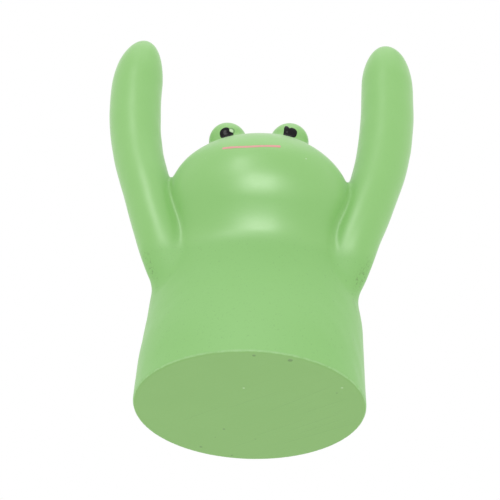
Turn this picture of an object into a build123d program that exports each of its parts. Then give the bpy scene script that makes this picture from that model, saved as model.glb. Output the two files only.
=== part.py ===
# Green frog figure with both arms raised, cast in solid resin and glued up.
# Millimetres. Z is up, the frog looks along -Y, and the origin is the middle
# of the flat ground face.
import os

from build123d import *

os.makedirs("parts", exist_ok=True)

# body column: height, half width, reach to the front, reach to the back
base_radius = 20.0
flare = (8.0, 19.5, 18.6, 18.9)
waist = (17.0, 18.7, 14.6, 16.6)
neck = (26.0, 17.3, 10.6, 14.2)
base_edge_radius = 0.4

# head: an egg-shaped crown over a jaw that draws in to the neck
head_half_width = 16.6
head_half_depth = 14.3
head_half_height = 11.6
head_forward = 2.7
head_middle_height = 39.6

# throat and jaw: height above the neck, half width, front, back
throat = (3.0, 16.7, 10.6, 13.5)
jaw = (7.0, 16.5, 14.4, 12.6)

# arms: reach to the side, height, radius and reach forward, root to tip
arm_stations = (
    (9.8, 17.0, 4.7, 2.6),
    (13.8, 25.0, 5.1, 3.2),
    (17.1, 32.7, 4.85, 3.5),
    (19.7, 40.3, 4.6, 3.2),
    (21.9, 49.1, 4.7, 2.6),
    (22.9, 57.8, 4.8, 2.3),
    (22.9, 66.0, 4.5, 2.2),
    (22.7, 70.5, 3.8, 2.2),
)
right_arm_rise = 0.4
left_arm_rise = -0.4

# eyes and mouth, with heights above the middle of the head
eye_radius = 3.55
eye_spacing = 10.9
eye_forward = 7.0
eye_rise = 10.6
pupil_radius = 1.2
pupil_outward = 0.08
pupil_drop = 0.15
mouth_length = 10.6
mouth_stroke_width = 0.6
mouth_rise = 3.3
mouth_sag = 0.5
mouth_shift = -1.5
paint_thickness = 0.14

# glued joints
joint_clearance = 0.15
socket_end_room = 0.5
neck_peg_radius = 5.0
neck_peg_length = 6.0
arm_peg_radius = 2.0
arm_peg_height = 31.0
arm_peg_forward = 3.4
arm_peg_inner_end = 11.5
arm_peg_outer_end = 17.0


def ring(height, half_width, front, back):
    middle = (back - front) / 2
    half_depth = (back + front) / 2
    return Pos(0, middle, height) * Ellipse(half_width, half_depth)


def egg(growth):
    unit_ball = Sphere(1.0)
    sizes = (
        head_half_width + growth,
        head_half_depth + growth,
        head_half_height + growth,
    )
    return Pos(0, -head_forward, head_middle_height) * scale(unit_ball, sizes)


def peg_along_x(radius, start, end, height, side):
    length = end - start
    rod = Rot(0, 90, 0) * Cylinder(radius, length)
    return Pos(side * (start + end) / 2, -arm_peg_forward, height) * rod


# column of the body with a softened ground edge
column = loft([
    ring(0, base_radius, base_radius, base_radius),
    ring(*flare),
    ring(*waist),
    ring(*neck),
])
ground_edge = column.edges().group_by(Axis.Z)[0]
torso = fillet(ground_edge, base_edge_radius)

# head with its jaw and the peg under it
equator = (
    head_middle_height,
    head_half_width,
    head_half_depth + head_forward,
    head_half_depth - head_forward,
)
neck_height = neck[0]
lower_head = loft([
    ring(*neck),
    ring(neck_height + throat[0], *throat[1:]),
    ring(neck_height + jaw[0], *jaw[1:]),
    ring(*equator),
])
above_equator = Pos(0, 0, head_middle_height) * Box(
    3 * head_half_width,
    4 * head_half_depth,
    2 * head_half_height,
    align=(Align.CENTER, Align.CENTER, Align.MIN),
)
head_shape = lower_head + (egg(0) & above_equator)

neck_peg = Pos(0, 0, neck_height - neck_peg_length / 2) * Cylinder(
    neck_peg_radius, neck_peg_length
)
socket_depth = neck_peg_length + socket_end_room
neck_socket = Pos(0, 0, neck_height - socket_depth / 2) * Cylinder(
    neck_peg_radius + joint_clearance, socket_depth
)


def arm_tube(side, rise):
    root_height = arm_stations[0][1]
    tip_height = arm_stations[-1][1]
    centres = []
    for reach, height, radius, forward in arm_stations:
        share = (height - root_height) / (tip_height - root_height)
        centres.append(Vector(side * reach, -forward, height + rise * share))
    path = Spline(*centres)
    rings = []
    for centre, station in zip(centres, arm_stations):
        along = path.tangent_at(path.param_at_point(centre))
        place = Plane(origin=centre, x_dir=(0, 1, 0), z_dir=along)
        rings.append(place * Circle(station[2]))
    hand = Pos(*centres[-1]) * Sphere(arm_stations[-1][2])
    return loft(rings) + hand


def make_arm(side, rise):
    peg = peg_along_x(
        arm_peg_radius, arm_peg_inner_end, arm_peg_outer_end, arm_peg_height, side
    )
    return arm_tube(side, rise) - torso - head_shape + peg


def arm_socket(side):
    bottom = arm_peg_inner_end - socket_end_room
    mouth = arm_peg_outer_end + head_half_width / 5
    return peg_along_x(
        arm_peg_radius + joint_clearance, bottom, mouth, arm_peg_height, side
    )


left_arm = make_arm(-1, left_arm_rise)
right_arm = make_arm(1, right_arm_rise)
head = head_shape + neck_peg - arm_socket(-1) - arm_socket(1)
torso = torso - neck_socket


def eye_centre(side):
    eye_height = head_middle_height + eye_rise
    return Vector(side * eye_spacing / 2, -eye_forward, eye_height)


def make_eye_dome(side):
    return Pos(*eye_centre(side)) * Sphere(eye_radius) - head_shape


def make_pupil(side):
    centre = eye_centre(side)
    gaze = Vector(side * pupil_outward, -1, -pupil_drop)
    place = Plane(origin=centre, z_dir=gaze)
    brush = place * Cylinder(
        pupil_radius, 2 * eye_radius, align=(Align.CENTER, Align.CENTER, Align.MIN)
    )
    skin = Pos(*centre) * (Sphere(eye_radius + paint_thickness) - Sphere(eye_radius))
    return (skin & brush) - head_shape


def make_mouth():
    half = mouth_length / 2
    bow = ThreePointArc((-half, mouth_sag), (0, 0), (half, mouth_sag))
    outline = SlotArc(bow, mouth_stroke_width)
    mouth_height = head_middle_height + mouth_rise
    face_plane = Plane(
        origin=(mouth_shift, 0, mouth_height), x_dir=(1, 0, 0), z_dir=(0, -1, 0)
    )
    brush = extrude(face_plane * outline, 2 * head_half_depth)
    return (egg(paint_thickness) - egg(0)) & brush


pieces = {
    "torso": torso,
    "head": head,
    "left_arm": left_arm,
    "right_arm": right_arm,
    "left_eye_dome": make_eye_dome(-1),
    "right_eye_dome": make_eye_dome(1),
    "left_pupil": make_pupil(-1),
    "right_pupil": make_pupil(1),
    "mouth_stroke": make_mouth(),
}

for name, piece in pieces.items():
    print(name, len(piece.solids()), round(piece.volume, 3), piece.is_valid)
    export_step(piece, "parts/" + name + ".step")
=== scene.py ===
# Green resin frog with its arms up: painted skin, eyes, mouth, studio.
import math

import bpy
import numpy as np
import openvdb
from mathutils import Matrix, Vector


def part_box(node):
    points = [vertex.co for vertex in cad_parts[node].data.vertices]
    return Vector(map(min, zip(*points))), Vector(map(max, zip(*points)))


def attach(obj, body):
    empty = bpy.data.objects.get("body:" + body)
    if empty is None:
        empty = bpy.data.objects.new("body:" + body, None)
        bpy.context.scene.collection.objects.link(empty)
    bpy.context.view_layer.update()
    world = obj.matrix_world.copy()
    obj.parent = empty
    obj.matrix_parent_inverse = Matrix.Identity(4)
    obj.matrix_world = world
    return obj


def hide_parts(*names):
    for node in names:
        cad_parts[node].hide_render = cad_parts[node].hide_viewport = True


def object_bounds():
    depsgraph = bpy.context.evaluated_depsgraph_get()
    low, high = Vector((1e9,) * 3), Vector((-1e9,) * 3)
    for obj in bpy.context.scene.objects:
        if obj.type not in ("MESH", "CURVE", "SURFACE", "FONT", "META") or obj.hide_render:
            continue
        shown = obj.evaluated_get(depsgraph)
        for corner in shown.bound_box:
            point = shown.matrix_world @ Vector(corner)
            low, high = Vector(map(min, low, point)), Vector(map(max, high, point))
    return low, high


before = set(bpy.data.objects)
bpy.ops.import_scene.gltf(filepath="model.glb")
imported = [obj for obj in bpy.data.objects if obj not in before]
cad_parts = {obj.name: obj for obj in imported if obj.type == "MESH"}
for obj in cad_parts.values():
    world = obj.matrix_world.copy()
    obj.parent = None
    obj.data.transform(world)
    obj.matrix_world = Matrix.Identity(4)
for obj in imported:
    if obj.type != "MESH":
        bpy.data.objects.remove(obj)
cadBounds = [list(corner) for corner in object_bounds()]
mm = 0.001
tiny = 1e-6  # keeps divisions off nothing
print("frog: frame loaded")


def boxMm(node):
    low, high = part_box(node)
    return np.array(low) / mm, np.array(high) / mm


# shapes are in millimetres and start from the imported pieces' own boxes
torsoLow, torsoHigh = boxMm("torso")
crownTop = boxMm("head")[1][2]
leftHandTop = boxMm("left_arm")[1][2]
rightHandTop = boxMm("right_arm")[1][2]
baseRadius = (torsoHigh[0] - torsoLow[0]) / 2

# the column's half widths, shifts and reaches at set heights, and the head's oval
body = {
    "heights": [0, 8, 17, 26, 33, 40],
    "halfWidths": [baseRadius, 19.5, 18.8, 17.5, 16.2, 14.9],
    "shifts": [0, 0.1, 0.3, 0.1, 0, 0],
    "fronts": [baseRadius, 18.5, 14.7, 11.5, 11.4, 9.5],
    "backs": [baseRadius, 18.9, 16.6, 14.2, 12.2, 9.0],
    "headMiddle": [0.45, -3.3, crownTop - 11.5],
    "headHalfSizes": [16.2, 13.7, 11.4],
    "neckMelt": 3.2,  # how softly head and column run together
    "rimRound": 0.5,
}

# reach to the side, radius and reach forward at set heights, root to hand
leftArm = {
    "side": -1,
    "heights": [17, 25, 32.7, 40.3, 49.1, 57.8, 63, 68.4, leftHandTop],
    "reaches": [10.1, 14.6, 17.25, 19.4, 21.65, 22.6, 22.7, 22.4, 21.8],
    "radii": [3.8, 4.0, 4.3, 4.4, 4.5, 4.65, 4.65, 4.6, 4.6],
    "top": leftHandTop + 0.4,
    "tip": 10.0,  # length of the oval that closes the hand
    "forwards": [2.2, 3.2, 4.1, 4.1, 3.2, 2.5, 2.2, 2.1, 2.1],
}

rightArm = {
    "side": 1,
    "heights": [17, 25, 32.7, 40.3, 49.1, 57.8, 64, 69, rightHandTop],
    "reaches": [11.2, 15.5, 17.9, 20.25, 22.35, 23.2, 23.25, 23.15, 23.0],
    "radii": [3.7, 4.0, 4.4, 4.55, 4.75, 4.85, 4.75, 4.55, 4.5],
    "top": rightHandTop + 0.1,
    "tip": 8.5,
    "forwards": [1.6, 2.6, 3.9, 4.1, 3.2, 2.5, 2.2, 2.1, 2.1],
}
armMelt = 1.3

eyes = {
    "radius": 3.42,
    "melt": 0.8,
    "drops": {"left_eye_dome": 0.55, "right_eye_dome": 0.25},
}

# painted shade darkens the creases above this height
creaseShading = {"width": 1.1, "from": 27, "fade": 6, "eyeWidth": 0.6, "eyeShare": 0.5}

# seed, length and height of the slow waves that a hand leaves
unevenness = {"waves": [(3, 16, 0.05), (5, 5, 0.02)], "flatBelow": 3.0}


def through(points, values, at):
    # smooth line through a few set values
    points, values = np.asarray(points, float), np.asarray(values, float)
    slopes = np.gradient(values, points)
    at = np.clip(at, points[0], points[-1])
    i = np.clip(np.searchsorted(points, at) - 1, 0, len(points) - 2)
    gap = points[i + 1] - points[i]
    t = (at - points[i]) / gap
    a, b = values[i], values[i + 1]
    leave, arrive = slopes[i] * gap, slopes[i + 1] * gap
    square, cube = t * t, t * t * t
    return (
        (2 * cube - 3 * square + 1) * a
        + (cube - 2 * square + t) * leave
        + (3 * square - 2 * cube) * b
        + (cube - square) * arrive
    )


def melt(a, b, width):
    # the nearer of two surfaces, with the corner between them filled
    share = np.clip(0.5 + 0.5 * (b - a) / width, 0, 1)
    return b + (a - b) * share - width * share * (1 - share)


def columnAway(p):
    x, y, z = p[..., 0], p[..., 1], p[..., 2]
    half = through(body["heights"], body["halfWidths"], z)
    front = through(body["heights"], body["fronts"], z)
    back = through(body["heights"], body["backs"], z)
    x = x - through(body["heights"], body["shifts"], z)
    y = y - (back - front) / 2
    deep = (front + back) / 2
    k0 = np.sqrt((x / half) ** 2 + (y / deep) ** 2)
    k1 = np.sqrt((x / half**2) ** 2 + (y / deep**2) ** 2)
    side = k0 * (k0 - 1) / np.maximum(k1, tiny)
    top = z - body["heights"][-1]
    outside = (side > 0) & (top > 0)
    return np.where(outside, np.hypot(side, top), np.maximum(side, top))


def headAway(p):
    q = p - np.array(body["headMiddle"])
    r = np.array(body["headHalfSizes"])
    k0 = np.linalg.norm(q / r, axis=-1)
    k1 = np.linalg.norm(q / (r * r), axis=-1)
    return k0 * (k0 - 1) / np.maximum(k1, tiny)


def armAway(arm, p):
    x, y, z = p[..., 0] * arm["side"], p[..., 1], p[..., 2]
    z0 = np.clip(z, arm["heights"][0], arm["heights"][-1])
    step = 0.2
    reach = through(arm["heights"], arm["reaches"], z0)
    lean = (through(arm["heights"], arm["reaches"], z0 + step) - reach) / step
    radius = through(arm["heights"], arm["radii"], z0)
    forward = through(arm["heights"], arm["forwards"], z0)
    across = (x - reach) / np.sqrt(1 + lean**2)
    # the hand closes in a long oval, the buried root in a ball
    closes = arm["top"] - arm["tip"]
    beyond = np.where(z > closes, (z - closes) * radius / arm["tip"], np.minimum(z - z0, 0))
    return np.sqrt(across**2 + (y + forward) ** 2 + beyond**2) - radius


eyeMiddles = {}
for eyeName, drop in eyes["drops"].items():
    low, high = boxMm(eyeName)
    radius = (high[0] - low[0]) / 2
    eyeMiddles[eyeName] = np.array([
        (low[0] + high[0]) / 2, low[1] + radius, high[2] - radius - drop,
    ])


def frogAway(p):
    # distance from the frog's surface, less than nothing inside it
    away = melt(columnAway(p), headAway(p), body["neckMelt"])
    for arm in (leftArm, rightArm):
        away = melt(away, armAway(arm, p), armMelt)
    for eye in eyeMiddles.values():
        ball = np.linalg.norm(p - eye, axis=-1) - eyes["radius"]
        away = melt(away, ball, eyes["melt"])
    return -melt(-away, p[..., 2], body["rimRound"])


def creaseShadeDepth(p):
    # painted shade: 1 along the creases beside the arms and eyes, falling to 0 beside them
    trunk = melt(columnAway(p), headAway(p), body["neckMelt"])
    deepest = np.zeros(p.shape[:-1])
    for arm in (leftArm, rightArm):
        gap = np.maximum(np.abs(armAway(arm, p)), np.abs(trunk))
        above = np.clip((p[..., 2] - creaseShading["from"]) / creaseShading["fade"], 0, 1)
        deepest = np.maximum(deepest, above * np.clip(1 - gap / creaseShading["width"], 0, 1))
    for eye in eyeMiddles.values():
        ball = np.linalg.norm(p - eye, axis=-1) - eyes["radius"]
        gap = np.maximum(np.abs(ball), np.abs(trunk))
        near = np.clip(1 - gap / creaseShading["eyeWidth"], 0, 1)
        deepest = np.maximum(deepest, creaseShading["eyeShare"] * near)
    return deepest


def handWobble(p, seed, length, waves=9):
    # slow unevenness of a hand-finished master, about -1 to 1
    draw = np.random.RandomState(seed)
    total = np.zeros(p.shape[:-1])
    for _ in range(waves):
        way = draw.normal(size=3)
        way *= 2 * math.pi / (np.linalg.norm(way) * length * draw.uniform(0.7, 1.5))
        total += np.sin(p @ way + draw.uniform(0, 2 * math.pi))
    return total / math.sqrt(waves)


def paintedAway(p):
    # the same surface with its hand-made unevenness, none at the ground face
    wobble = sum(
        height * handWobble(p, seed, length) for seed, length, height in unevenness["waves"]
    )
    return frogAway(p) - wobble * np.clip(p[..., 2] / unevenness["flatBelow"], 0, 1)


def outward(p, step=0.05):
    # the way straight out of the painted surface
    slope = np.empty_like(p)
    for axis in range(3):
        shift = np.zeros(3)
        shift[axis] = step
        slope[..., axis] = paintedAway(p + shift) - paintedAway(p - shift)
    return slope / np.maximum(np.linalg.norm(slope, axis=-1, keepdims=True), tiny)


def settle(p, rounds=3, ease=0.95):
    # moves points onto the painted surface
    for _ in range(rounds):
        p = p - paintedAway(p)[..., None] * outward(p) * ease
    return p


skinMesh = {"grid": 0.55, "finerLevels": 1, "margin": 2.0, "farAway": 3.0}


def castSkin():
    grid = skinMesh["grid"]
    low = np.array(cadBounds[0]) / mm - skinMesh["margin"]
    high = np.array(cadBounds[1]) / mm + skinMesh["margin"]
    lines = [np.arange(low[i], high[i] + grid, grid) for i in range(3)]
    points = np.stack(np.meshgrid(*lines, indexing="ij"), axis=-1)
    away = np.stack([frogAway(slab) for slab in points])
    volume = openvdb.FloatGrid(background=skinMesh["farAway"])
    volume.copyFromArray(away.astype(np.float64))
    corners, quads = volume.convertToQuads(isovalue=0.0)
    corners = settle(np.array(corners, float) * grid + low)
    mesh = bpy.data.meshes.new("frogSkin")
    mesh.from_pydata((corners * mm).tolist(), [], np.array(quads).tolist())
    mesh.validate()
    skin = bpy.data.objects.new("frogSkin", mesh)
    bpy.context.scene.collection.objects.link(skin)
    finer = skin.modifiers.new("finer", "SUBSURF")
    finer.levels = skinMesh["finerLevels"]
    depsgraph = bpy.context.evaluated_depsgraph_get()
    smooth = bpy.data.meshes.new_from_object(skin.evaluated_get(depsgraph))
    skin.modifiers.clear()
    skin.data = smooth
    bpy.data.meshes.remove(mesh)
    smooth.name = "frogSkin"
    return skin


def readAll(items, name):
    flat = np.empty(len(items) * 3)
    items.foreach_get(name, flat)
    return flat.reshape(-1, 3)


skin = castSkin()
spots = settle(readAll(skin.data.vertices, "co") / mm, 2)
spots[:, 2] = np.maximum(spots[:, 2], 0)
skin.data.vertices.foreach_set("co", (spots * mm).ravel())
skin.data.update()
# the crease mask, kept on the skin's points, darkens the paint there as painted shade
creaseShade = skin.data.attributes.new("creaseShade", "FLOAT", "POINT")
creaseShade.data.foreach_set("value", creaseShadeDepth(spots).astype(np.float32))
print("frog: skin has", len(skin.data.polygons), "faces")

faces = skin.data.polygons
if (readAll(faces, "normal") * outward(readAll(faces, "center") / mm)).sum() < 0:
    skin.data.flip_normals()
faces.foreach_set("use_smooth", [True] * len(faces))

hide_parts("torso", "head", "left_arm", "right_arm", "left_eye_dome", "right_eye_dome")
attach(skin, "root")


def eyeFrame(eye, gaze):
    # the way that an eye looks, and what is across and up from there
    ahead = np.array(gaze) / np.linalg.norm(gaze)
    across = np.cross([0, 0, 1], ahead)
    across /= np.linalg.norm(across)
    return ahead, across, np.cross(ahead, across)


def closedRadius(outline, turns):
    # outline: points round the dot, as (across, up); gives the radius at each turn
    dots = np.array(outline, float)
    angles = np.unwrap(np.arctan2(dots[:, 1], dots[:, 0]))
    radii = np.hypot(dots[:, 0], dots[:, 1])
    angles = np.concatenate([angles - 2 * math.pi, angles, angles + 2 * math.pi])
    return through(angles, np.tile(radii, 3), turns)


def onEye(eyeName, gaze, right, rise):
    # a point on the eye dome, this far right of and above where the frog looks
    eye = eyeMiddles[eyeName]
    ahead, across, up = eyeFrame(eye, gaze)
    start = eye + ahead * eyes["radius"] + across * right + up * rise
    return tuple(float(value) for value in settle(start[None], 6)[0])


# outlines are points round each dot, across and up, in millimetres
leftPupil = {
    "gaze": (-0.10, -1, -0.10),
    "thickness": 0.09,
    "skirt": 0.05,  # how far its underside sits in the skin
    "outline": [
        (1.34, -0.26), (1.36, 0.06), (0.80, 0.26), (0.58, 0.62), (0.46, 1.12),
        (0.0, 1.34), (-0.70, 1.12), (-1.22, 0.58), (-1.34, -0.05), (-1.12, -0.76),
        (-0.50, -1.24), (0.17, -1.34), (0.85, -1.02),
    ],
}
rightPupil = {
    "gaze": (0.03, -1, -0.03),
    "thickness": 0.09,
    "skirt": 0.05,
    "outline": [
        (1.32, -0.12), (1.28, 0.48), (0.86, 0.98), (0.24, 1.22), (-0.36, 1.34),
        (-0.62, 1.72), (-1.04, 1.98), (-1.24, 1.62), (-1.28, 0.70), (-1.30, -0.10),
        (-1.16, -0.80), (-0.56, -1.24), (0.17, -1.32), (0.92, -0.96),
    ],
}


def paintDot(name, eyeName, dot, turnCount=96, ringCount=14, rimSink=0.01):
    # a thin lens of paint laid on the eye dome
    eye = eyeMiddles[eyeName]
    ahead, across, up = eyeFrame(eye, dot["gaze"])
    turns = np.arange(turnCount) * 2 * math.pi / turnCount
    edge = closedRadius(dot["outline"], turns)
    shares = np.linspace(0, 1, ringCount + 1)[1:]
    start = eye + ahead * (eyes["radius"] + 0.1)
    rows = []
    for under in (False, True):
        for share in shares if not under else shares[::-1][1:]:
            flatSpot = start + share * edge[:, None] * (
                np.cos(turns)[:, None] * across + np.sin(turns)[:, None] * up
            )
            onSkin = settle(flatSpot, 5)
            lift = dot["thickness"] * math.sqrt(max(1 - share**3, 0)) - rimSink
            rows.append(onSkin + outward(onSkin) * (-dot["skirt"] if under else lift))
    top = settle(start[None], 5)
    points = [top[0] + outward(top)[0] * (dot["thickness"] - rimSink)]
    points += [place for row in rows for place in row]
    points.append(top[0] - outward(top)[0] * dot["skirt"])
    faces = []
    last = len(points) - 1
    for i in range(turnCount):
        j = (i + 1) % turnCount
        faces.append((0, 1 + i, 1 + j))
        for row in range(len(rows) - 1):
            a, b = 1 + row * turnCount, 1 + (row + 1) * turnCount
            faces.append((a + i, b + i, b + j, a + j))
        a = 1 + (len(rows) - 1) * turnCount
        faces.append((a + i, last, a + j))
    return meshPiece(name, points, faces)


def meshPiece(name, points, faces):
    mesh = bpy.data.meshes.new(name)
    mesh.from_pydata((np.array(points) * mm).tolist(), [], faces)
    mesh.validate()
    mesh.polygons.foreach_set("use_smooth", [True] * len(mesh.polygons))
    piece = bpy.data.objects.new(name, mesh)
    bpy.context.scene.collection.objects.link(piece)
    return piece


leftDot = paintDot("leftPupil", "left_eye_dome", leftPupil)
rightDot = paintDot("rightPupil", "right_eye_dome", rightPupil)

mouthLow, mouthHigh = boxMm("mouth_stroke")
mouth = {
    "left": mouthLow[0], "right": mouthHigh[0], "height": mouthLow[2] + 0.3,
    "sag": 0.5, "waver": 0.05, "curve": 1.2,
    "middleWidth": 0.58, "endWidth": 0.78, "thickness": 0.05, "skirt": 0.03,
    "ragged": 0.03, "raggedSeed": 11,
    "endShare": 0.035,  # share of the stroke that closes each end
}


def paintMouth(name, steps=120, lanes=9):
    # one brush stroke across the face, a ring of points at each step
    along = np.linspace(0, 1, steps)
    x = mouth["left"] + (mouth["right"] - mouth["left"]) * along
    bend = (2 * along - 1) ** 2
    z = mouth["height"] + mouth["sag"] * bend
    z = z + mouth["waver"] * np.sin(7 * along + 1)
    width = mouth["middleWidth"] + (mouth["endWidth"] - mouth["middleWidth"]) * bend**2
    pastBody = (np.abs(2 * along - 1) - (1 - mouth["endShare"])) / mouth["endShare"]
    closing = np.sqrt(np.clip(1 - np.clip(pastBody, 0, 1) ** 2, 0, 1))
    draw = np.random.RandomState(mouth["raggedSeed"])
    ragged = np.convolve(draw.normal(size=steps + 8), np.ones(9) / 3, "valid")
    width = (width + mouth["ragged"] * ragged) * np.maximum(closing, 0.03)
    points = []
    turns = np.linspace(0, 2 * math.pi, 2 * lanes, endpoint=False)
    front = body["headMiddle"][1] - body["headHalfSizes"][1] - 0.5
    for i in range(steps):
        ring = np.stack([
            np.full(len(turns), x[i]),
            np.full(len(turns), front + mouth["curve"] * ((x[i] / 10) ** 2)),
            z[i] + np.cos(turns) * width[i] / 2,
        ], axis=-1)
        ring = settle(ring, 6)
        swell = np.sin(turns) * mouth["thickness"] * max(closing[i], 0.1)
        lift = np.where(swell > 0, swell, -mouth["skirt"])
        points.append(ring + outward(ring) * lift[:, None])
    points = np.concatenate(points)
    count = len(turns)
    faces = []
    for i in range(steps - 1):
        here, there = i * count, (i + 1) * count
        for j in range(count):
            k = (j + 1) % count
            faces.append((here + j, here + k, there + k, there + j))
    faces.append(tuple(range(count))[::-1])
    faces.append(tuple((steps - 1) * count + j for j in range(count)))
    return meshPiece(name, points, faces)


mouthLine = paintMouth("mouthStroke")
for piece, node, slot in (
    (leftDot, "left_pupil", "black_paint"),
    (rightDot, "right_pupil", "black_paint"),
    (mouthLine, "mouth_stroke", "pink_paint"),
):
    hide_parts(node)
    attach(piece, "root")
print("frog: eyes and mouth painted")


class Wire:
    # a shader socket that takes part in sums like a number

    def __init__(self, tree, socket=None):
        self.tree = tree
        self.socket = socket

    def node(self, kind, settings=None, sockets=None, output=0):
        made = self.tree.nodes.new(kind)
        for name, value in (settings or {}).items():
            setattr(made, name, value)
        for name, value in (sockets or {}).items():
            if isinstance(value, Wire):
                self.tree.links.new(value.socket, made.inputs[name])
            else:
                made.inputs[name].default_value = value
        return None if output is None else Wire(self.tree, made.outputs[output])

    def sum(self, operation, first, second, held=False):
        settings = {"operation": operation, "use_clamp": held}
        return self.node("ShaderNodeMath", settings, {0: first, 1: second})

    def __add__(self, other):
        return self.sum("ADD", self, other)

    __radd__ = __add__

    def __sub__(self, other):
        return self.sum("SUBTRACT", self, other)

    def __rsub__(self, other):
        return self.sum("SUBTRACT", other, self)

    def __mul__(self, other):
        return self.sum("MULTIPLY", self, other)

    __rmul__ = __mul__

    def __truediv__(self, other):
        return self.sum("DIVIDE", self, other)

    def __pow__(self, other):
        return self.sum("POWER", self, other)

    def __abs__(self):
        return self.sum("ABSOLUTE", self, 0)

    def held(self):
        return self.sum("ADD", self, 0, held=True)

    def most(self, other):
        return self.sum("MAXIMUM", self, other)

    def least(self, other):
        return self.sum("MINIMUM", self, other)

    def colours(self, without, full):
        # this mask mixes two colours
        return self.node("ShaderNodeMix", {"data_type": "RGBA"}, {0: self, 6: without, 7: full}, 2)


def vectorSum(start, operation, sockets, output=0):
    return start.node("ShaderNodeVectorMath", {"operation": operation}, sockets, output)


def newPaint(name):
    # an empty material, and a place in millimetres that stays with the piece
    material = bpy.data.materials.new(name)
    material.use_nodes = True
    tree = material.node_tree
    tree.nodes.clear()
    start = Wire(tree)
    place = start.node("ShaderNodeTexCoord", output=3)
    return material, start, vectorSum(start, "SCALE", {0: place, 3: 1 / mm})


def paintShader(start, sockets, height, strength, distance):
    sockets["Normal"] = start.node(
        "ShaderNodeBump", None, {"Strength": strength, "Distance": distance, "Height": height}
    )
    return start.node("ShaderNodeBsdfPrincipled", None, sockets)


def showShader(material, shader):
    shader.node("ShaderNodeOutputMaterial", None, {"Surface": shader}, None)
    return material


def noise(start, place, scale, detail=2.0, roughness=0.5):
    # cloudy variation, its scale in turns to the millimetre
    return start.node(
        "ShaderNodeTexNoise", None,
        {"Vector": place, "Scale": scale, "Detail": detail, "Roughness": roughness},
    )


def spot(start, place, point, radius, soft):
    # a round mark where a small ball meets the surface
    gap = vectorSum(start, "DISTANCE", {0: place, 1: point}, "Value")
    return ((radius - gap) / soft + 0.5).held()


def stroke(start, place, begin, end, halfWidth, soft):
    # a thin straight mark through the surface, from one point to another
    begin, end = np.array(begin, float), np.array(end, float)
    length = float(np.linalg.norm(end - begin))
    along = tuple((end - begin) / length)
    offset = vectorSum(start, "SUBTRACT", {0: place, 1: tuple(begin)})
    run = vectorSum(start, "DOT_PRODUCT", {0: offset, 1: along}, "Value").most(0).least(length)
    foot = vectorSum(start, "SCALE", {0: along, 3: run})
    gap = vectorSum(start, "DISTANCE", {0: offset, 1: foot}, "Value")
    return ((halfWidth - gap) / soft + 0.5).held()


def axes(start, place):
    parts = start.node("ShaderNodeSeparateXYZ", None, {0: place})
    node = parts.socket.node
    return [Wire(start.tree, node.outputs[i]) for i in range(3)]


satin = {
    "green": (0.268, 0.563, 0.170, 1),
    "deepGreen": (0.246, 0.540, 0.148, 1),
    "paleGreen": (0.288, 0.575, 0.188, 1),
    "bellyGreen": (0.235, 0.518, 0.147, 1),
    # painted shade in the creases
    "creaseShadeGreen": (0.150, 0.430, 0.060, 1),
    "dark": (0.075, 0.130, 0.045, 1),
    "pale": (0.62, 0.80, 0.52, 1),
    "roughness": 0.40,
    "dustySheen": 0.32,
    "sheenRoughness": 0.35,
    "bellyTop": 28.6,  # below this the paint is duller
    # top of the painted highlight along the ground rim
    "rimHighlightTop": 0.48,
    # scale, detail and roughness of each kind of unevenness
    "broad": (0.07, 3, 0.5), "fine": (1.3, 3, 0.6), "grain": (3.6, 2, 0.6),
    "freckles": (2.9, 2, 0.5), "pocking": (2.3, 3, 0.7),
    "bump": (0.22, 0.00006),
    # trapped bubbles that broke as pale specks: place and radius
    "specks": [
        ((-24.9, -6.0, 64.6), 0.16), ((-23.4, -6.7, 59.5), 0.13), ((-23.5, -5.2, 43.6), 0.14),
        ((-9.3, -14.2, 41.4), 0.17), ((8.3, -15.0, 41.3), 0.17), ((-15.4, -7.2, 36.5), 0.14),
        ((18.5, -6.0, 56.0), 0.12), ((-5.0, 12.0, 30.0), 0.15), ((9.0, 13.0, 41.0), 0.14),
    ],
    # pocked strips where the arm roots were filled, and fine seams at their ends
    "roughStrips": [
        ((19.8, -4.0, 29.0), (18.4, -4.4, 23.0), 1.2),
        ((18.4, -4.4, 23.0), (18.0, -5.0, 18.5), 0.9),
        ((-18.6, -5.0, 26.2), (-17.4, -5.0, 20.2), 0.9),
    ],
    "seams": [
        ((18.4, -1.8, 17.4), (17.6, -6.4, 17.0)), ((17.6, -6.4, 17.0), (17.2, -8.6, 9.1)),
        ((-18.2, -1.8, 17.0), (-17.4, -5.6, 16.6)), ((-16.5, -5.4, 43.6), (-15.8, -6.2, 42.6)),
    ],
    "pock": (0.13, 0.22, 0.07, 1),
    "crescent": (0.06, 0.16, 0.05, 1),
    # pinholes, drawn darker than the paint round them
    "pits": [
        ((-3.2, -13.4, 31.6), 0.22), ((-14.6, -8.0, 22.6), 0.20), ((-3.1, -19.8, 0.7), 0.16),
        ((6.0, -17.6, 9.0), 0.12), ((-8.0, -14.5, 15.0), 0.12), ((11.0, 13.0, 12.0), 0.22),
        ((-4.0, 15.4, 21.0), 0.18), ((16.5, 3.0, 31.0), 0.15),
    ],
}


def markAll(marks):
    # the strongest of several marks at each place
    strongest = marks[0]
    for mark in marks[1:]:
        strongest = strongest.most(mark)
    return strongest


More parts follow.
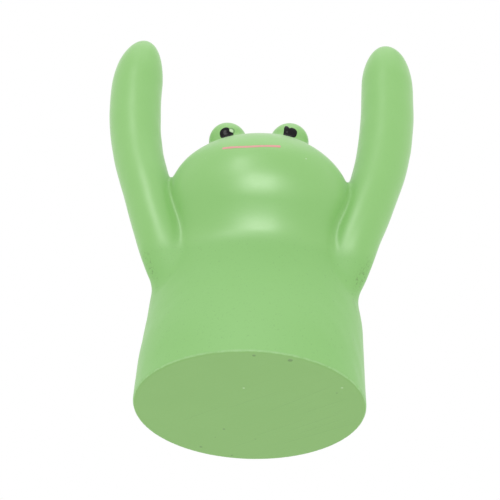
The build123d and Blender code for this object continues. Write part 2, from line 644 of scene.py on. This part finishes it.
def satinShader(start, place, y, z):
    broad = noise(start, place, *satin["broad"])
    fine = noise(start, place, *satin["fine"])
    grain = noise(start, place, *satin["grain"])
    belly = ((satin["bellyTop"] - z) / ((y + 4).most(0) * 0.6 + 2.2)).held()
    # the crease mask mixes in a darker green as painted shade
    creaseShade = start.node("ShaderNodeAttribute", {"attribute_name": "creaseShade"}, output="Fac")
    freckles = ((noise(start, place, *satin["freckles"]) - 0.62) * 7).held() * (0.05 + belly * 0.14)
    specks = markAll([spot(start, place, point, radius, 0.08) for point, radius in satin["specks"]])
    pits = markAll([spot(start, place, point, radius, 0.12) for point, radius in satin["pits"]])
    rough = markAll([stroke(start, place, a, b, half, 1.0) for a, b, half in satin["roughStrips"]])
    seams = markAll([stroke(start, place, a, b, 0.06, 0.12) for a, b in satin["seams"]])
    pocks = ((noise(start, place, *satin["pocking"]) - 0.54) * 9).held() * rough
    # a pale line along the ground rim, a painted highlight where the rounded edge catches the light
    rimHighlight = ((satin["rimHighlightTop"] - z) / 0.2).held() * ((fine - 0.25) * 3).held()
    # the bite in the left pupil, pale inside a thin dark crescent
    gaze = leftPupil["gaze"]
    notch = spot(start, place, onEye("left_eye_dome", gaze, 0.86, 0.46), 0.42, 0.12)
    outer = spot(start, place, onEye("left_eye_dome", gaze, 0.92, 0.52), 0.66, 0.14)
    crescent = outer * (1 - notch)
    # a light mottle, then each mark over the last
    colour = broad.colours(satin["deepGreen"], satin["paleGreen"])
    colour = broad.node(
        "ShaderNodeMix", {"data_type": "RGBA"}, {0: 0.55, 6: colour, 7: satin["green"]}, 2
    )
    for mask, strength, shade in (
        (belly, 0.5, "bellyGreen"), (creaseShade, 0.6, "creaseShadeGreen"), (freckles, 1, "dark"),
        (pits, 0.75, "dark"), (specks, 0.7, "pale"), (pocks, 0.6, "pock"),
        (seams, 0.45, "dark"), (rimHighlight, 0.2, "pale"), (notch, 0.8, "pale"),
        (crescent, 0.6, "crescent"),
    ):
        colour = (mask * strength).colours(colour, satin[shade])
    roughness = satin["roughness"] + (fine - 0.5) * 0.10 + belly * 0.30 + rough * 0.1
    height = fine * 0.5 + grain * (0.15 + 0.5 * belly) + broad * 2 - pits * 2.5 + specks
    height = height - pocks * 2.2 - seams * 2
    look = {
        "Base Color": colour, "Roughness": roughness,
        "Sheen Weight": satin["dustySheen"], "Sheen Roughness": satin["sheenRoughness"],
    }
    return paintShader(start, look, height, *satin["bump"])


groundLook = {
    "green": (0.214, 0.438, 0.114, 1),
    "patchy": (0.230, 0.460, 0.128, 1),
    "scratch": (0.160, 0.340, 0.090, 1),
    "scratchTurn": math.radians(40),
    # long sanding scratches: start and end on the ground face
    "scratches": [
        ((2.5, 1.7), (13.7, -9.0)), ((6.7, 8.2), (15.7, 0.7)), ((5.1, 13.7), (18.1, 4.3)),
        ((-4.0, 0.5), (5.0, -6.5)), ((-12.0, 6.0), (-4.5, -0.5)), ((1.0, 10.5), (10.0, 3.2)),
        ((9.0, 1.5), (17.0, -5.2)), ((8.2, 9.4), (16.8, 2.2)),
    ],
    "pinholes": [
        ((-4.3, 8.3), 0.22), ((-8.3, 15.5), 0.25), ((-2.8, 18.4), 0.2), ((6.4, -17.4), 0.42),
        ((0.4, -18.6), 0.3), ((14.6, -6.5), 0.16), ((1.2, 11.7), 0.12), ((-5.8, 11.5), 0.12),
    ],
    "specks": [((-1.1, -7.1), 0.2), ((15.4, -8.4), 0.2)],
    # how the fine sanding is drawn out: along, across, up
    "sandingStretch": (0.07, 3.2, 1),
    "patches": (0.12, 2), "fine": (2.2, 3, 0.6), "sanding": (1.0, 4, 0.7),
    "scratchHalfWidth": 0.07,
    "scratchFade": 1.5,
    "roughness": 0.5,
    "bump": (0.25, 0.00006),
    "depth": 0.13,  # the ground face's look ends at this height
}


def scratchMark(x, y, waver, begin, end):
    # a straight scratch across the ground face that fades at both ends
    (ax, ay), (bx, by) = begin, end
    length = math.hypot(bx - ax, by - ay)
    ux, uy = (bx - ax) / length, (by - ay) / length
    run = (x - ax) * ux + (y - ay) * uy
    side = abs((x - ax) * (-uy) + (y - ay) * ux + waver)
    fade = groundLook["scratchFade"]
    ends = (run / fade).held() * ((length - run) / fade).held()
    return ((groundLook["scratchHalfWidth"] - side) / 0.08 + 0.5).held() * ends


def groundShader(start, place, x, y):
    turned = start.node(
        "ShaderNodeVectorRotate", {"rotation_type": "Z_AXIS"},
        {"Vector": place, "Angle": groundLook["scratchTurn"]},
    )
    stretched = vectorSum(start, "MULTIPLY", {0: turned, 1: groundLook["sandingStretch"]})
    lines = noise(start, stretched, *groundLook["sanding"])
    patches = noise(start, place, *groundLook["patches"])
    fine = noise(start, place, *groundLook["fine"])
    where = ((x + 6) / 14).held() * 0.7 + 0.3
    sanding = ((lines - 0.58) * 9).held() * ((patches - 0.3) * 3).held() * where
    waver = (fine - 0.5) * 0.3
    scratches = markAll([
        scratchMark(x, y, waver, begin, end) for begin, end in groundLook["scratches"]
    ])
    holes, flecks = (
        markAll([spot(start, place, (*point, 0), size, 0.1) for point, size in groundLook[kind]])
        for kind in ("pinholes", "specks")
    )
    colour = patches.colours(groundLook["green"], groundLook["patchy"])
    for mask, strength, shade in (
        (sanding, 0.55, groundLook["scratch"]), (scratches, 0.28, groundLook["scratch"]),
        (holes, 0.5, satin["dark"]), (flecks, 0.5, satin["pale"]),
    ):
        colour = (mask * strength).colours(colour, shade)
    height = fine * 0.6 - sanding * 0.8 - scratches - holes * 3
    look = {"Base Color": colour, "Roughness": groundLook["roughness"] + (fine - 0.5) * 0.15}
    return paintShader(start, look, height, *groundLook["bump"])


def paintFrog():
    # satin paint all over, with the sanded ground face mixed in below the rim
    material, start, place = newPaint("satinGreenPaint")
    x, y, z = axes(start, place)
    ragged = (noise(start, place, 0.8, 3) - 0.5) * 0.12
    ground = ((groundLook["depth"] + ragged - z) / 0.06).held()
    both = start.node("ShaderNodeMixShader", None, {
        0: ground, 1: satinShader(start, place, y, z), 2: groundShader(start, place, x, y),
    })
    return showShader(material, both)


glossBlack = {
    "black": (0.006, 0.006, 0.007, 1),
    "thinBlack": (0.016, 0.015, 0.018, 1),
    "roughness": 0.12,
    "shine": 0.1,
    "streaks": (1.6, 3, 0.6),
    "bump": (0.2, 0.00006),
}


def paintBlack():
    material, start, place = newPaint("glossBlackPaint")
    streaks = noise(start, place, *glossBlack["streaks"])
    look = {
        "Base Color": streaks.colours(glossBlack["black"], glossBlack["thinBlack"]),
        "Roughness": glossBlack["roughness"] + streaks * 0.12,
        "Specular IOR Level": glossBlack["shine"],
    }
    return showShader(material, paintShader(start, look, streaks, *glossBlack["bump"]))


brushPink = {
    "pink": (0.80, 0.29, 0.30, 1),
    "thinPink": (0.60, 0.35, 0.27, 1),
    "roughness": 0.45,
    "middle": -1.3,
    "halfLength": 5.1,
    "streaks": (2.5, 3, 0.6),
    "bump": (0.2, 0.00005),
}


def paintPink():
    # the green shows through the middle of the stroke, less so at its ends
    material, start, place = newPaint("pinkBrushPaint")
    x = axes(start, place)[0]
    ends = (abs(x - brushPink["middle"]) / brushPink["halfLength"]).held() ** 3
    streaks = noise(start, place, *brushPink["streaks"])
    thin = ((streaks - 0.35) * 2).held() * (1 - ends)
    look = {
        "Base Color": thin.colours(brushPink["pink"], brushPink["thinPink"]),
        "Roughness": brushPink["roughness"] + streaks * 0.1,
    }
    return showShader(material, paintShader(start, look, streaks, *brushPink["bump"]))


skin.data.materials.clear()
skin.data.materials.append(paintFrog())
blackPaint = paintBlack()
for dotPiece in (leftDot, rightDot):
    dotPiece.data.materials.append(blackPaint)
mouthLine.data.materials.append(paintPink())
print("frog: materials made")


# metres and watts
studio = {
    "floorHalf": 1.5,
    "floorDrop": 0.0002,
    "floorColour": (0.91, 0.91, 0.90, 1),
    "floorGrey": (0.86, 0.86, 0.85, 1),
    "floorGrain": (400, 2),
    "sky": (1.0, 1.0, 1.0, 1),
    "skyStrength": 1.0,
    "lamps": [
        # name, azimuth, elevation, distance, width, height, power
        ("frontSoftbox", 1, -17, 0.14, 0.085, 0.075, 0.19),
        ("footSoftbox", 0, -89, 0.20, 0.09, 0.06, 0.06),
        ("sideSoftbox", -20, 21, 0.30, 0.08, 0.18, 0.38),
        ("overheadSoftbox", 0, 78, 0.40, 0.30, 0.30, 0.22),
    ],
}
aim = (Vector(cadBounds[0]) + Vector(cadBounds[1])) / 2


def layFloor():
    # paper under the frog, clear from below so that the ground face can be seen
    half, drop = studio["floorHalf"], -studio["floorDrop"]
    corners = [(-half, -half, drop), (half, -half, drop), (half, half, drop), (-half, half, drop)]
    mesh = bpy.data.meshes.new("paleFloor")
    mesh.from_pydata(corners, [], [(0, 1, 2, 3)])
    floor = bpy.data.objects.new("paleFloor", mesh)
    bpy.context.scene.collection.objects.link(floor)
    floor.visible_diffuse = False
    floor.visible_glossy = False
    floor.visible_shadow = False
    material = bpy.data.materials.new("paleFloorPaper")
    material.use_nodes = True
    tree = material.node_tree
    tree.nodes.clear()
    start = Wire(tree)
    grain = noise(start, start.node("ShaderNodeTexCoord", output=3), *studio["floorGrain"])
    colour = (grain * 0.2).colours(studio["floorColour"], studio["floorGrey"])
    paper = start.node("ShaderNodeBsdfDiffuse", None, {"Color": colour})
    under = start.node("ShaderNodeNewGeometry", output="Backfacing")
    clear = start.node("ShaderNodeBsdfTransparent", None, {"Color": (1, 1, 1, 1)})
    seen = start.node("ShaderNodeMixShader", None, {0: under, 1: paper, 2: clear})
    mesh.materials.append(showShader(material, seen))
    return floor


def lookAt(thing, target, roll=0):
    back = (thing.location - target).normalized()
    right = Vector((0, 0, 1)).cross(back).normalized()
    up = back.cross(right)
    turned = Matrix((right, up, back)).transposed().to_4x4() @ Matrix.Rotation(roll, 4, "Z")
    thing.matrix_world = Matrix.Translation(thing.location) @ turned


def aroundAim(azimuth, elevation, distance, target):
    # a place at this distance from the target, azimuth 0 in front of the frog
    a, e = math.radians(azimuth), math.radians(elevation)
    way = Vector((math.sin(a) * math.cos(e), -math.cos(a) * math.cos(e), math.sin(e)))
    return target + way * distance


def hangLamps():
    # the white room lights the paint, so most lamps only shine in its gloss
    for name, azimuth, elevation, distance, width, height, power in studio["lamps"]:
        data = bpy.data.lights.new(name, "AREA")
        data.shape = "RECTANGLE"
        data.size = width
        data.size_y = height
        data.energy = power
        lamp = bpy.data.objects.new(name, data)
        bpy.context.scene.collection.objects.link(lamp)
        lamp.location = aroundAim(azimuth, elevation, distance, aim)
        lookAt(lamp, aim)
        lamp.visible_diffuse = name == "overheadSoftbox"
        lamp.visible_camera = False


def lightSky():
    world = bpy.data.worlds.new("whiteStudio")
    world.use_nodes = True
    sky = world.node_tree.nodes["Background"]
    sky.inputs["Color"].default_value = studio["sky"]
    sky.inputs["Strength"].default_value = studio["skyStrength"]
    bpy.context.scene.world = world


viewPoint = {
    "target": (-0.00086, 0, 0.03147), "elevation": -31.15, "roll": -2.01, "distance": 0.437,
    "lens": 177.4, "sensor": 36.0, "nearest": 0.01,
}


def placeCamera():
    data = bpy.data.cameras.new("viewCamera")
    data.lens = viewPoint["lens"]
    data.sensor_width = viewPoint["sensor"]
    data.clip_start = viewPoint["nearest"]
    camera = bpy.data.objects.new("viewCamera", data)
    bpy.context.scene.collection.objects.link(camera)
    target = Vector(viewPoint["target"])
    camera.location = aroundAim(0, viewPoint["elevation"], viewPoint["distance"], target)
    lookAt(camera, target, -math.radians(viewPoint["roll"]))
    bpy.context.scene.camera = camera


layFloor()
hangLamps()
lightSky()
placeCamera()
bpy.context.scene.view_settings.view_transform = "Standard"
print("frog: floor, lamps and camera placed")

bpy.context.view_layer.update()
